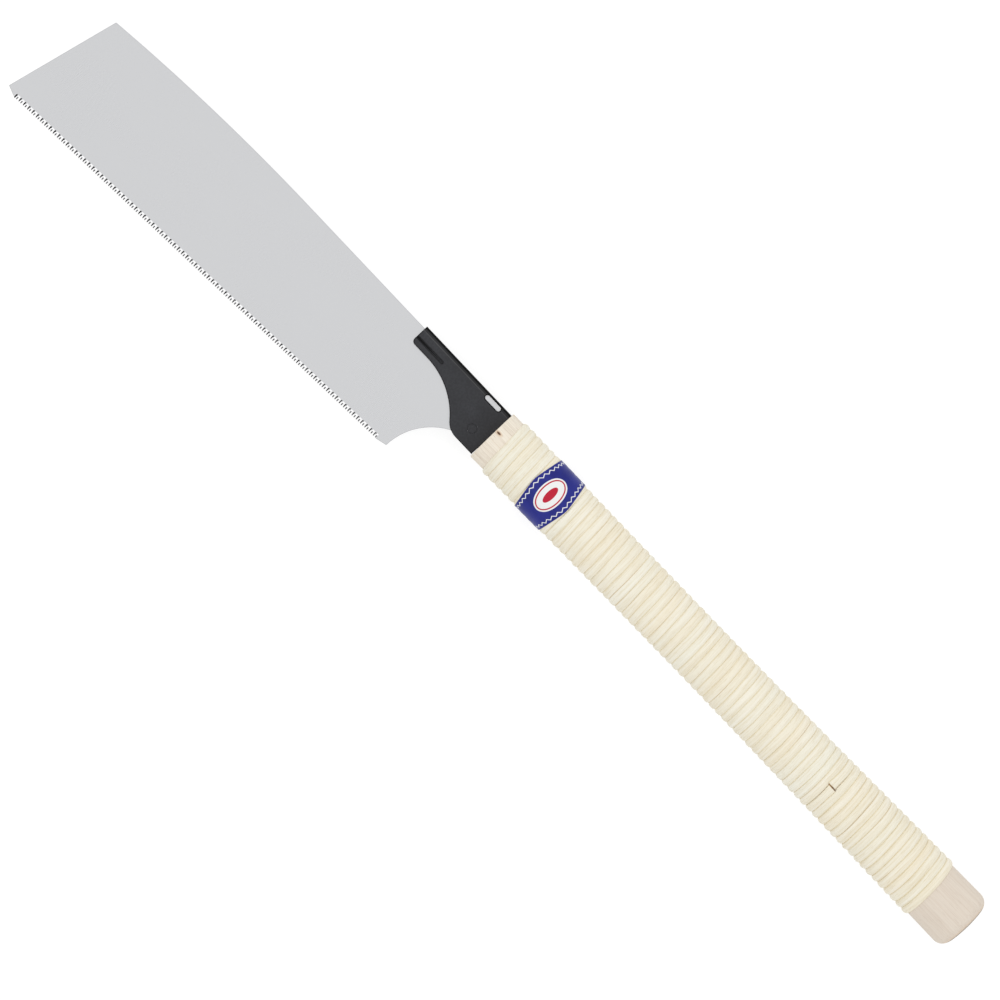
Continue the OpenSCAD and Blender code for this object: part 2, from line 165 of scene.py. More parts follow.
class Nodes:
    """Short way to add and link the nodes of one material."""

    def __init__(self, name):
        self.material = bpy.data.materials.new(name)
        self.material.use_nodes = True
        self.tree = self.material.node_tree
        self.shader = self.tree.nodes["Principled BSDF"]

    def add(self, kind, inputs=None, **settings):
        node = self.tree.nodes.new("ShaderNode" + kind)
        for key, value in settings.items():
            setattr(node, key, value)
        for key, value in (inputs or {}).items():
            self.put(node.inputs[key], value)
        return node

    def put(self, socket, value):
        if isinstance(value, bpy.types.NodeSocket):
            self.tree.links.new(value, socket)
        else:
            socket.default_value = value

    def set(self, **inputs):
        for key, value in inputs.items():
            self.put(self.shader.inputs[key.replace("_", " ")], value)

    def math(self, operation, a, b=0.0):
        return self.add("Math", {0: a, 1: b}, operation=operation).outputs[0]

    def ramp(self, value, low, high, out_low=0.0, out_high=1.0):
        node = self.add("MapRange", {"Value": value, "From Min": low, "From Max": high,
                                     "To Min": out_low, "To Max": out_high},
                        interpolation_type="SMOOTHSTEP")
        return node.outputs["Result"]

    def mix(self, share, a, b):
        node = self.add("Mix", {"Factor": share}, data_type="RGBA")
        self.put(node.inputs[6], a)
        self.put(node.inputs[7], b)
        return node.outputs[2]

    def place(self, scale=(1, 1, 1)):
        """Object coordinates in metres, scaled along each axis."""
        coords = self.add("TexCoord").outputs["Object"]
        return self.add("Mapping", {"Vector": coords, "Scale": scale}).outputs["Vector"]

    def field(self, name):
        return self.add("Attribute", attribute_name=name).outputs["Fac"]

    def combine(self, x, y, z=0.0):
        return self.add("CombineXYZ", {"X": x, "Y": y, "Z": z}).outputs["Vector"]

    def noise(self, vector, scale, detail=2.0, roughness=0.5, distortion=0.0):
        node = self.add("TexNoise", {"Vector": vector, "Scale": scale, "Detail": detail,
                                     "Roughness": roughness, "Distortion": distortion})
        return node.outputs["Fac"]

    def dot(self, vector, direction):
        node = self.add("VectorMath", {0: vector, 1: direction}, operation="DOT_PRODUCT")
        return node.outputs["Value"]

    def length(self, vector):
        return self.add("VectorMath", {0: vector}, operation="LENGTH").outputs["Value"]

    def distance(self, vector, centre, scale):
        """Distance from a centre, with the offset scaled along each axis."""
        off = self.add("VectorMath", {0: vector, 1: centre}, operation="SUBTRACT").outputs["Vector"]
        return self.length(self.add("Mapping", {"Vector": off, "Scale": scale}).outputs["Vector"])

    def edges(self, radius):
        """1 on sharp outer edges of the surface, falling to 0 at this distance from them."""
        eased = self.add("Bevel", {"Radius": radius}, samples=8).outputs["Normal"]
        flat = self.add("NewGeometry").outputs["True Normal"]
        return self.ramp(self.dot(eased, flat), 0.9995, 0.97)

    def bump(self, height, distance, strength=1.0, normal=None):
        node = self.add("Bump", {"Height": height, "Distance": distance, "Strength": strength})
        if normal is not None:
            self.put(node.inputs["Normal"], normal)
        return node.outputs["Normal"]


def rgb(r, g, b):
    return (r, g, b, 1.0)


# Lines that the finish of the blade and the holder follows: the tooth line, the spine and the pin

EDGE_SLOPE = math.radians(2.7)
SPINE_SLOPE = math.radians(0.6)
TIP_FIT = 0.05 * MM
TOOTH_PITCH = 1.5 * MM
TOOTH_RUN_IN = 0.9 * MM
ALONG_EDGE = Vector((math.cos(EDGE_SLOPE), math.sin(EDGE_SLOPE), 0))
OFF_EDGE = Vector((-ALONG_EDGE.y, ALONG_EDGE.x, 0))
blade_points = [v.co for v in nodes["saw_blade"].data.vertices]
TIP_LINE = min(p.dot(OFF_EDGE) for p in blade_points)
TIPS = [p for p in blade_points if p.dot(OFF_EDGE) < TIP_LINE + TIP_FIT]
FIRST_TIP = min(p.dot(ALONG_EDGE) for p in TIPS)
LAST_TIP = max(p.dot(ALONG_EDGE) for p in TIPS)
LEANING_TIP = min(p.dot(ALONG_EDGE) for p in TIPS if p.z < AXIS.z)

OFF_SPINE = Vector((math.sin(SPINE_SLOPE), math.cos(SPINE_SLOPE), 0))
ALONG_SPINE = Vector((OFF_SPINE.y, -OFF_SPINE.x, 0))
holder_points = [v.co for v in nodes["blade_holder"].data.vertices]
SPINE_LINE = max(p.dot(OFF_SPINE) for p in holder_points)
CHEEK_LIFT = max(p.z for p in holder_points) - AXIS.z
CREASE_FRONT = min(p.dot(ALONG_SPINE) for p in holder_points)
CREASE_LEN = 18.5 * MM
HIGHLIGHT_DROP = 2.5 * MM
PIN_AT = sum(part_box("hook_pin"), Vector()) / 2
WINDOW_X = AXIS.dot(ALONG_SPINE) - 11.4 * MM
WINDOW_DROP = 2.6 * MM
WINDOW_RUN = 8.0 * MM
WINDOW_R = 1.2 * MM


def steel_material():
    """Satin steel plate with painted reflections: a darker rim along its edges, and bright teeth whose
    filed bevels are dark by turns.
    """
    n = Nodes("satin_steel")
    at = n.add("TexCoord").outputs["Object"]
    lines = n.noise(n.place((9000, 260, 1)), 1.0, detail=3.0, roughness=0.6)
    clouds = n.noise(n.place((18, 40, 1)), 1.0, detail=3.0)
    tone = n.math("ADD", n.ramp(lines, 0.2, 0.8, 0.48, 0.52), n.ramp(clouds, 0.2, 0.8, -0.02, 0.02))
    colour = n.mix(tone, rgb(0.470, 0.475, 0.485), rgb(0.732, 0.737, 0.752))
    # Painted reflection: a darker rim along the blade's rounded edges
    colour = n.mix(n.math("MULTIPLY", n.edges(0.5 * MM), 0.7), colour, rgb(0.36, 0.36, 0.37))
    height = n.math("SUBTRACT", n.dot(at, OFF_EDGE), TIP_LINE)
    run = n.dot(at, ALONG_EDGE)

    def stroke(after_tip, half, top, fade):
        """Painted dark reflection across every second tooth, this far behind its tip and up to this height.
        """
        shifted = n.math("SUBTRACT", run, LEANING_TIP + after_tip - TOOTH_PITCH)
        off = n.math("SUBTRACT", n.math("FLOORED_MODULO", shifted, 2 * TOOTH_PITCH), TOOTH_PITCH)
        across = n.ramp(n.math("ABSOLUTE", off), half + 0.06 * MM, half - 0.06 * MM)
        return n.math("MULTIPLY", across, n.ramp(height, top, fade))

    begun = n.math("GREATER_THAN", run, FIRST_TIP - TOOTH_RUN_IN)
    toothed = n.math("MULTIPLY", begun, n.math("LESS_THAN", run, LAST_TIP + TIP_FIT))
    toothed = n.math("MULTIPLY", toothed, n.ramp(height, 2.6 * MM, 2.3 * MM))
    long_stroke = stroke(-0.22 * MM, 0.50 * MM, 2.9 * MM, 2.1 * MM)
    short_stroke = stroke(1.15 * MM, 0.42 * MM, 1.8 * MM, 1.3 * MM)
    # Painted reflections on the teeth: near white, with the filed bevels dark
    tooth_reflections = n.mix(long_stroke, rgb(0.93, 0.93, 0.94), rgb(0.004, 0.004, 0.004))
    tooth_reflections = n.mix(short_stroke, tooth_reflections, rgb(0.06, 0.06, 0.063))
    colour = n.mix(toothed, colour, tooth_reflections)
    n.set(Base_Color=colour, Metallic=1.0, Anisotropic=0.35)
    n.set(Roughness=n.math("ADD", n.ramp(lines, 0.2, 0.8, 0.24, 0.31), n.ramp(clouds, 0.2, 0.8, 0.0, 0.04)))
    n.set(Normal=n.bump(lines, 0.002 * MM, 0.3))
    return n.material


def black_material():
    """Satin black coating on pressed sheet: fine orange peel, with painted shade in the fold, crease and
    edges, and painted highlights along the fold and on the window's walls.
    """
    n = Nodes("black_coating")
    point = n.add("TexCoord").outputs
    at = point["Object"]
    peel = n.noise(n.place(), 900.0, detail=2.0)
    drift = n.noise(n.place(), 60.0, detail=3.0)
    broad = n.noise(n.place(), 38.0, detail=1.0)
    colour = n.mix(n.ramp(drift, 0.3, 0.7), rgb(0.0425, 0.0430, 0.0470), rgb(0.0495, 0.0505, 0.0555))
    colour = n.mix(n.ramp(broad, 0.52, 0.70, 0.0, 0.5), colour, rgb(0.060, 0.062, 0.070))
    colour = n.mix(n.ramp(broad, 0.48, 0.30, 0.0, 0.5), colour, rgb(0.035, 0.035, 0.037))
    colour = n.mix(n.ramp(peel, 0.35, 0.65, 0.0, 0.3), colour, rgb(0.028, 0.028, 0.030))

    # Painted shade darkens the fold, with a painted highlight line where it meets the cheek
    below_spine = n.math("SUBTRACT", SPINE_LINE, n.dot(at, OFF_SPINE))
    colour = n.mix(n.ramp(below_spine, 2.6 * MM, 2.0 * MM, 0.0, 0.5), colour, rgb(0.014, 0.014, 0.014))
    off_fold_highlight = n.math("ABSOLUTE", n.math("SUBTRACT", below_spine, HIGHLIGHT_DROP))
    fold_highlight = n.math("MULTIPLY", n.ramp(off_fold_highlight, 0.3 * MM, 0.1 * MM), n.ramp(drift, 0.35, 0.65, 0.25, 0.85))
    colour = n.mix(fold_highlight, colour, rgb(0.088, 0.088, 0.087))

    # Painted shade: black on steep faces, along the back of the fold and round the window
    painted_shade = n.ramp(n.math("ABSOLUTE", n.dot(point["Normal"], UP)), 0.60, 0.45)
    painted_shade = n.math("MAXIMUM", painted_shade, n.ramp(below_spine, 1.5 * MM, 1.0 * MM))
    along_window = n.math("ABSOLUTE", n.math("SUBTRACT", n.dot(at, ALONG_SPINE), WINDOW_X))
    past_run = n.math("MAXIMUM", n.math("SUBTRACT", along_window, WINDOW_RUN / 2), 0.0)
    off_window = n.length(n.combine(past_run, n.math("SUBTRACT", below_spine, WINDOW_DROP)))
    painted_shade = n.math("MAXIMUM", painted_shade, n.ramp(off_window, WINDOW_R + 0.8 * MM, WINDOW_R + 0.4 * MM))

    # Painted shade in the pressed crease, which is widest at the front and runs out towards the handle
    lift = n.math("ABSOLUTE", n.math("SUBTRACT", n.dot(at, UP), AXIS.z))
    behind = n.math("SUBTRACT", n.dot(at, ALONG_SPINE), CREASE_FRONT)
    lift = n.math("ADD", lift, n.ramp(behind, 0.0, CREASE_LEN, 0.02 * MM, 0.13 * MM))
    painted_shade = n.math("MAXIMUM", painted_shade, n.ramp(lift, CHEEK_LIFT - 0.14 * MM, CHEEK_LIFT - 0.27 * MM))

    # Painted shade on edges and steep faces, kept faint round the pin, whose round end shows only as a
    # faint ring
    from_pin = n.distance(at, PIN_AT, (1, 1, 0))
    darker = n.math("MULTIPLY", n.math("MAXIMUM", n.edges(0.9 * MM), painted_shade),
                    n.ramp(from_pin, 2.9 * MM, 3.4 * MM, 0.1, 0.94))
    colour = n.mix(darker, colour, rgb(0.002, 0.002, 0.002))
    # Painted highlight: the window's walls are bare sheared metal, painted near white
    sheared_glint = n.math("LESS_THAN", off_window, WINDOW_R + 0.03 * MM)
    colour = n.mix(sheared_glint, colour, rgb(0.82, 0.82, 0.83))
    n.set(Base_Color=colour)
    n.set(Roughness=n.math("ADD", n.ramp(peel, 0.3, 0.7, 0.36, 0.42), n.ramp(drift, 0.3, 0.7, 0.0, 0.06)))
    n.shader.inputs["Specular IOR Level"].default_value = 0.08
    n.set(Normal=n.bump(peel, 0.04 * MM, 0.4))
    return n.material


def pin_material():
    """Plain drawn steel with fine lines along the pin."""
    n = Nodes("drawn_steel")
    lines = n.noise(n.place((400, 400, 6000)), 1.0, detail=2.0)
    n.set(Base_Color=n.mix(lines, rgb(0.42, 0.42, 0.43), rgb(0.58, 0.58, 0.59)), Metallic=1.0)
    n.set(Roughness=n.ramp(lines, 0.3, 0.7, 0.3, 0.42))
    return n.material


KNOT = Vector((2.0 * MM, 3.0 * MM, 12.0 * MM))
HEART = Vector((0, 9.0 * MM, -31.0 * MM))
RING_WIDTH = 1.9 * MM


def wood_material():
    """Pale sanded wood: broad bands, long fibres and short pores along it, a pin knot, and end grain with
    painted shade at the butt.
    """
    n = Nodes("pale_wood")
    point = n.add("TexCoord").outputs
    at = point["Object"]
    bands = n.noise(n.place((5, 260, 260)), 1.0, detail=4.0, roughness=0.6, distortion=0.3)
    fibres = n.noise(n.place((30, 1200, 1200)), 1.0, detail=4.0, roughness=0.65)
    pores = n.noise(n.place((150, 2400, 2400)), 1.0, detail=1.0)
    streaks = n.noise(n.place((9, 750, 750)), 1.0, detail=2.0, roughness=0.5)
    colour = n.mix(n.ramp(bands, 0.3, 0.7), rgb(0.910, 0.842, 0.722), rgb(0.872, 0.790, 0.670))
    colour = n.mix(n.ramp(fibres, 0.44, 0.68, 0.0, 0.55), colour, rgb(0.65, 0.555, 0.45))
    colour = n.mix(n.ramp(pores, 0.62, 0.72, 0.0, 0.45), colour, rgb(0.50, 0.40, 0.30))
    thin = n.math("ABSOLUTE", n.math("SUBTRACT", streaks, 0.5))
    colour = n.mix(n.ramp(thin, 0.03, 0.0, 0.0, 0.28), colour, rgb(0.63, 0.48, 0.34))
    # Darker towards the butt
    butt = AXIS.x + HANDLE_LEN
    darker_to_butt = n.ramp(n.dot(at, TO_BUTT), butt - 300 * MM, butt - 30 * MM, 0.0, 0.58)
    colour = n.mix(darker_to_butt, colour, rgb(0.70, 0.605, 0.52))

    # End grain: growth rings about a heart outside the handle, darker at the butt; there the darkening is
    # also painted shade on the rounded rim, and a warm band just inside it is a painted highlight
    turns = n.math("MULTIPLY", n.distance(at, AXIS + HEART, (0, 1, 1)), 2 * math.pi / RING_WIDTH)
    ring = n.math("SINE", n.math("ADD", turns, n.math("MULTIPLY", bands, 3.0)))
    facing = n.dot(point["Normal"], TO_BUTT)
    end_grain_and_shade = n.mix(n.ramp(ring, -0.4, 1.0), rgb(0.37, 0.315, 0.265), rgb(0.28, 0.230, 0.185))
    colour = n.mix(n.ramp(facing, 0.54, 0.78, 0.0, 0.40), colour, rgb(0.76, 0.57, 0.39))
    colour = n.mix(n.ramp(facing, 0.78, 0.90, 0.0, 0.90), colour, end_grain_and_shade)
    colour = n.mix(n.ramp(facing, -0.90, -0.97, 0.0, 0.35), colour, end_grain_and_shade)

    # Pin knot near the front, with a warm halo
    from_knot = n.distance(at, AXIS + KNOT, (0.45, 1, 1))
    spread = n.math("ADD", from_knot, n.math("MULTIPLY", fibres, 0.3 * MM))
    colour = n.mix(n.ramp(spread, 1.7 * MM, 0.5 * MM, 0.0, 0.65), colour, rgb(0.66, 0.42, 0.24))
    colour = n.mix(n.ramp(spread, 0.86 * MM, 0.5 * MM, 0.0, 0.95), colour, rgb(0.085, 0.035, 0.015))
    n.set(Base_Color=colour, Roughness=n.ramp(fibres, 0.3, 0.7, 0.55, 0.7))
    n.shader.inputs["Specular IOR Level"].default_value = 0.3
    n.set(Normal=n.bump(fibres, 0.03 * MM, 0.5))
    return n.material


def rattan_material():
    """Bleached rattan: long fibres along the strip, tan edges that also paint the shade between turns, and
    a tone that drifts along it.
    """
    n = Nodes("rattan")
    along, across, tone, cut = n.field("along"), n.field("across"), n.field("tone"), n.field("cut")
    lane = n.combine(n.math("MULTIPLY", along, 60), n.math("MULTIPLY", across, 3), tone)
    fibres = n.noise(lane, 1.0, detail=4.0, roughness=0.65)
    lane_fine = n.combine(n.math("MULTIPLY", along, 260), n.math("MULTIPLY", across, 8), tone)
    fine = n.noise(lane_fine, 1.0, detail=2.0)
    patches = n.noise(n.combine(n.math("MULTIPLY", along, 25), across, 4.0), 1.0, detail=2.0)
    colour = n.mix(n.ramp(tone, 0.0, 1.0), rgb(0.915, 0.845, 0.680), rgb(0.905, 0.880, 0.760))
    colour = n.mix(n.ramp(fibres, 0.40, 0.70, 0.0, 0.55), colour, rgb(0.77, 0.67, 0.47))
    colour = n.mix(n.ramp(fine, 0.56, 0.72, 0.0, 0.50), colour, rgb(0.70, 0.58, 0.38))
    colour = n.mix(n.ramp(patches, 0.48, 0.72, 0.0, 0.55), colour, rgb(0.96, 0.925, 0.82))
    side = n.math("ABSOLUTE", across)
    # Tan edges, deepened as painted shade between the turns
    colour = n.mix(n.ramp(side, 0.70, 1.0, 0.0, 0.35), colour, rgb(0.78, 0.67, 0.43))
    stained = n.math("MULTIPLY", n.ramp(side, 0.90, 0.99), n.ramp(patches, 0.50, 0.66, 0.0, 0.55))
    colour = n.mix(stained, colour, rgb(0.50, 0.31, 0.14))
    # Cut ends: brown, running across the strip to near black as painted shade in the splice gap
    cut_end_and_gap_shade = n.mix(n.ramp(across, -0.7, 0.9), rgb(0.46, 0.26, 0.08), rgb(0.15, 0.055, 0.015))
    colour = n.mix(n.ramp(cut, 0.0, 0.5), colour, cut_end_and_gap_shade)
    n.set(Base_Color=colour, Roughness=n.ramp(fibres, 0.3, 0.7, 0.42, 0.58))
    n.shader.inputs["Specular IOR Level"].default_value = 0.3
    n.set(Normal=n.bump(fibres, 0.05 * MM, 0.5, n.bump(fine, 0.02 * MM, 0.4)))
    return n.material


PRINT_SOFT = 0.07 * MM
HALF_WAVE = 1.6 * MM


def label_material():
    """Blue printed paper: a white oval with a red ring and core, between two white zigzag lines."""
    n = Nodes("label_paper")
    along, around, margin = n.field("along"), n.field("around"), n.field("margin")

    def inside(distance):
        return n.ramp(distance, PRINT_SOFT, -PRINT_SOFT)

    def oval(half_along, half_around):
        """Distance outside an oval about the middle of the label, in metres."""
        p = n.combine(n.math("DIVIDE", along, half_along), n.math("DIVIDE", around, half_around))
        return n.math("MULTIPLY", n.math("SUBTRACT", n.length(p), 1.0), half_along)

    def zigzag(inset, rise, half):
        """Distance outside a zigzag line that follows both long edges of the label."""
        wave = n.math("PINGPONG", n.math("ADD", around, 1.0), HALF_WAVE)
        line = n.math("ADD", n.math("MULTIPLY", wave, rise / HALF_WAVE), inset)
        return n.math("SUBTRACT", n.math("ABSOLUTE", n.math("SUBTRACT", margin, line)), half)

    fibres = n.noise(n.place(), 2500.0, detail=3.0)
    drift = n.noise(n.place(), 160.0, detail=2.0)
    blue = n.mix(n.ramp(drift, 0.3, 0.7), rgb(0.011, 0.016, 0.195), rgb(0.017, 0.024, 0.245))
    white = n.mix(fibres, rgb(0.84, 0.85, 0.84), rgb(0.92, 0.92, 0.91))
    red = rgb(0.52, 0.010, 0.035)
    colour = n.mix(inside(zigzag(1.3 * MM, 1.3 * MM, 0.26 * MM)), blue, white)
    colour = n.mix(inside(oval(6.4 * MM, 9.6 * MM)), colour, white)
    colour = n.mix(inside(oval(5.6 * MM, 8.8 * MM)), colour, red)
    colour = n.mix(inside(oval(4.9 * MM, 8.1 * MM)), colour, white)
    colour = n.mix(inside(oval(2.1 * MM, 4.6 * MM)), colour, red)
    colour = n.mix(n.ramp(margin, 0.16 * MM, 0.06 * MM), colour, rgb(0.80, 0.77, 0.66))
    n.set(Base_Color=colour, Roughness=n.ramp(fibres, 0.3, 0.7, 0.30, 0.40))
    n.shader.inputs["Specular IOR Level"].default_value = 0.25
    n.set(Normal=n.bump(fibres, 0.01 * MM, 0.4))
    return n.material


steel = steel_material()
black = black_material()
pin_steel = pin_material()
wood = wood_material()
rattan = rattan_material()
paper = label_material()


def dress(node, material):
    nodes[node].data.materials.clear()
    nodes[node].data.materials.append(material)


dress("saw_blade", steel)
dress("blade_holder", black)
dress("hook_pin", black)
dress("tang_pins", pin_steel)


# Wooden core, smooth and with a rounded, slightly domed butt

CORE_SIDES = 128
CORE_STEPS = 60
ROUND_STEPS = 10
DOME_STEPS = 8
CENTRE_SHARE = 0.02
TANG_LEN = 62.15 * MM
TANG_HALF = 10.15 * MM
TANG_HALF_T = 1.75 * MM
TANG_CHAMFER = 4.0 * MM
TANG_LEAD = 2.0 * MM
PIN_HOLE_R = 1.27 * MM
PIN_HOLES = (18 * MM, 46 * MM)


def cut_away(obj, outlines, half_height):
    """Cut upright prisms with these outlines, in the holder's slope, through the handle's axis."""
    slope = Matrix.Rotation(-SPINE_SLOPE, 4, "Z")
    for outline in outlines:
        rows = [[AXIS + slope @ Vector((x, y, z)) for x, y in outline] for z in (-half_height, half_height)]
        tool = new_object("tool", closed_mesh("tool", rows))
        cut = obj.modifiers.new("cut", "BOOLEAN")
        cut.operation = "DIFFERENCE"
        cut.object = tool
        held = obj.evaluated_get(bpy.context.evaluated_depsgraph_get())
        old, obj.data = obj.data, bpy.data.meshes.new_from_object(held)
        obj.modifiers.clear()
        bpy.data.meshes.remove(old)
        tool_mesh = tool.data
        bpy.data.objects.remove(tool)
        bpy.data.meshes.remove(tool_mesh)


def wooden_core():
    # Each station: place along the handle, inset of the oval and its share of the full size
    round_x = HANDLE_LEN - BUTT_DOME - BUTT_R
    stations = [(0, FRONT_EASE, CENTRE_SHARE), (0, FRONT_EASE, 0.5)]
    for i in range(ROUND_STEPS + 1):
        a = math.pi / 2 * i / ROUND_STEPS
        stations.append((FRONT_EASE * (1 - math.cos(a)), FRONT_EASE * (1 - math.sin(a)), 1))
    for i in range(1, CORE_STEPS + 1):
        stations.append((FRONT_EASE + (round_x - FRONT_EASE) * i / CORE_STEPS, 0, 1))
    for i in range(1, ROUND_STEPS + 1):
        a = math.pi / 2 * i / ROUND_STEPS
        stations.append((round_x + BUTT_R * math.sin(a), BUTT_R * (1 - math.cos(a)), 1))
    for i in range(1, DOME_STEPS + 1):
        share = 1 - (1 - CENTRE_SHARE) * i / DOME_STEPS
        stations.append((HANDLE_LEN - BUTT_DOME * share * share, BUTT_R, share))
    turn = [2 * math.pi * j / CORE_SIDES for j in range(CORE_SIDES)]
    rows = [[round_handle(x, a, -inset, share) for a in turn] for x, inset, share in stations]
    obj = new_object("handle_wood", closed_mesh("handle_wood", rows))
    near, end, side = -TANG_LEAD, TANG_LEN, TANG_HALF
    cut_away(obj, [[(near, -side), (end - TANG_CHAMFER, -side), (end, TANG_CHAMFER - side),
                    (end, side - TANG_CHAMFER), (end - TANG_CHAMFER, side), (near, side)]], TANG_HALF_T)
    round_hole = [(PIN_HOLE_R * math.cos(a), PIN_HOLE_R * math.sin(a)) for a in turn[::4]]
    cut_away(obj, [[(x + px, y) for x, y in round_hole] for px in PIN_HOLES], END_T)
    shade(obj.data)
    finish_piece(obj, wood, "handle_core")


wooden_core()


# Rattan strips, half round, whose turns lie against each other

SEGMENTS = 72
CROWN = (-1.0, -0.97, -0.9, -0.78, -0.6, -0.4, -0.2, 0.0, 0.2, 0.4, 0.6, 0.78, 0.9, 0.97, 1.0)
CROWN_POWER = 2.4
FOOT = (0.98, -0.98)
BOW = 2.2 * MM
GAPE = 0.06 * MM
# Height of the strip's edges as a share of its crown, before and behind the splice on top,
# and the turns over which it changes
EDGE_SHARE = 0.42
REAR_EDGE_SHARE = 0.25
EDGE_CHANGE = 6
# Cut ends: the gap between them, the slope that they are trimmed to, and the tint of the covered end
CUT_GAP = 0.05 * MM
CUT_SLOPE = 0.46 * MM
END_TINT = 0.34
# Splice on top: how far each end pushes the next turn, and the gap that it leaves, by turns
PUSH_BACK = 0.65 * MM
PUSH_FRONT = 0.75 * MM
PUSH_SPREAD = 0.05
PUSH_EASE = 0.008
SPLICE_GAP = 0.35 * MM
SPLICE_SPREAD = 0.09
SPLICE_LAG = 0.06
# Paler stretches of the winding: the turn, the spread in turns and the amount
PALE_TURNS = ((49.5, 2.2, 0.35), (4, 3, 0.3))


def lane_edge(u):
    """Place along the handle of the line between turn u and the next one."""
    drift = BOW * math.sin(math.pi * min(1, max(0, u / TURNS)))
    waves = ((0.11, 6.9, 0.4), (0.09, 11.3, 2.1), (0.07, 3.7, 1.0), (0.05, 23.9, 0.0))
    ease = smooth_step(-0.5, 1.5, u) * smooth_step(TURNS - 0.5, TURNS - 2.5, u)
    # The two ends at the splice on top push their neighbours aside
    front, back = u - TOP_SPLICE + 1, u - TOP_SPLICE
    push = PUSH_BACK * bell(back, PUSH_SPREAD) * smooth_step(-PUSH_EASE, PUSH_EASE, back)
    push -= PUSH_FRONT * bell(front, PUSH_SPREAD) * smooth_step(PUSH_EASE, -PUSH_EASE, front)
    return REED_FROM + REED_PITCH * (u + 1) + drift + MM * ease * wander(u, *waves) + push


def lane_gap(u):
    """Open width of the line between turn u and the next one: closed, with some gaping stretches."""
    return GAPE * max(0, wander(u, (0.6, 2.7, 0.3), (0.5, 7.9, 1.2), (0.3, 13.1, 2.6)) - 0.45)


def strip_row(u, start, end, cut):
    """Points across the strip at turn u, first over its crown and then back under it."""
    angle = 2 * math.pi * u - math.pi / 2
    low, high = lane_edge(u - 1) + lane_gap(u - 1) / 2, lane_edge(u) - lane_gap(u) / 2
    # Each end at a splice leaves a gap on one side
    if end < TURNS:
        high -= SPLICE_GAP * bell(u - end, SPLICE_SPREAD)
    if start > 0:
        low += SPLICE_GAP * bell(u - start - SPLICE_LAG, SPLICE_SPREAD)
    middle, half = (low + high) / 2, (high - low) / 2
    # Edges stand up against the next turn, and run out to the wood at both ends of the winding
    rear = smooth_step(TOP_SPLICE - EDGE_CHANGE, TOP_SPLICE, u)
    pressed = EDGE_SHARE + (REAR_EDGE_SHARE - EDGE_SHARE) * rear
    lead = pressed * smooth_step(0.8, 1.2, u)
    trail = pressed * smooth_step(TURNS - 0.8, TURNS - 1.2, u)
    uneven = wander(u, (0.02, 4.3, 0.7), (0.02, 9.1, 1.9), (0.01, 17.7, 0.2))
    height = REED_H * (1 + uneven) * (1 - 0.5 * cut)
    row = []
    for v in CROWN:
        share = lead if v < 0 else trail
        out = height * (share + (1 - share) * (1 - abs(v) ** CROWN_POWER))
        row.append(round_handle(middle + half * v, angle, REED_FIT + out))
    row += [round_handle(middle + half * v, angle, REED_FIT) for v in FOOT]
    return [Vector((p.x, p.y, max(p.z, 0.0))) for p in row]


def rattan_strip(k):
    start, end = STRIP_ENDS[k], STRIP_ENDS[k + 1]
    circumference = math.pi * (half_width(WAIST_X) + half_thickness(WAIST_X))
    trim = CUT_GAP / circumference
    slope = CUT_SLOPE / circumference
    first, last = start + trim, end - trim
    steps = round((last - first) * SEGMENTS)
    places = [first, first + slope / 2, first + slope]
    places += [first + slope + (last - first - 2 * slope) * i / steps for i in range(1, steps)]
    places += [last - slope, last - slope / 2, last]
    across = CROWN + FOOT
    rows, fields = [], {"along": [], "across": [], "tone": [], "cut": []}
    for u in places:
        cut = max(0, 1 - min(u - first, last - u) / slope)
        tint = cut if u - first < last - u else END_TINT * cut
        tone = 0.45 + wander(u, (0.16, 1.9, 0.3), (0.14, 0.63, 1.4), (0.1, 4.1, 0.9))
        tone += sum(amount * bell(u - at, spread) for at, spread, amount in PALE_TURNS)
        rows.append(strip_row(u, start, end, cut))
        fields["along"].append([u * circumference] * len(across))
        fields["across"].append(across)
        fields["tone"].append([tone] * len(across))
        fields["cut"].append([tint] * len(across))
    name = f"rattan_{k + 1}"
    mesh = closed_mesh(name, rows, fields)
    shade(mesh, 60)
    finish_piece(new_object(name, mesh), rattan, f"rattan_strip_{k + 1}")


for k in range(len(STRIP_ENDS) - 1):
    rattan_strip(k)


# Paper label, drawn tight over the crowns of the turns

LABEL_X = 42.7 * MM
LABEL_W = 23.4 * MM
LABEL_TURN = math.radians(310)
LABEL_T = 0.12 * MM
LABEL_OUT = 0.04 * MM
LABEL_DRAW = 2.9 * MM
LABEL_BEND = 0.1225
LABEL_ROWS = 124
LABEL_COLS = 60
CROWN_RISE = 1.06
SINK = 0.10 * MM
SINK_REACH = 0.9 * MM


def sink_between(x, angle):
    """How far the paper sinks between two crowns at this place."""
    turn = (angle + math.pi / 2) / (2 * math.pi)
    k = round((x - REED_FROM) / REED_PITCH - 1 - turn)
    nearest = min((lane_edge(turn + i) - x for i in (k - 1, k, k + 1)), key=abs)
    return SINK * bell(nearest, SINK_REACH)


def label_reach(a):
    """Half the label's width at an angle from its middle: it draws in, fastest beside the top."""
    q = abs(a) / (math.pi / 2)
    return LABEL_W / 2 - LABEL_DRAW * (math.hypot(q, LABEL_BEND) - LABEL_BEND) * max(0.95, 2.05 - 0.92 * q)


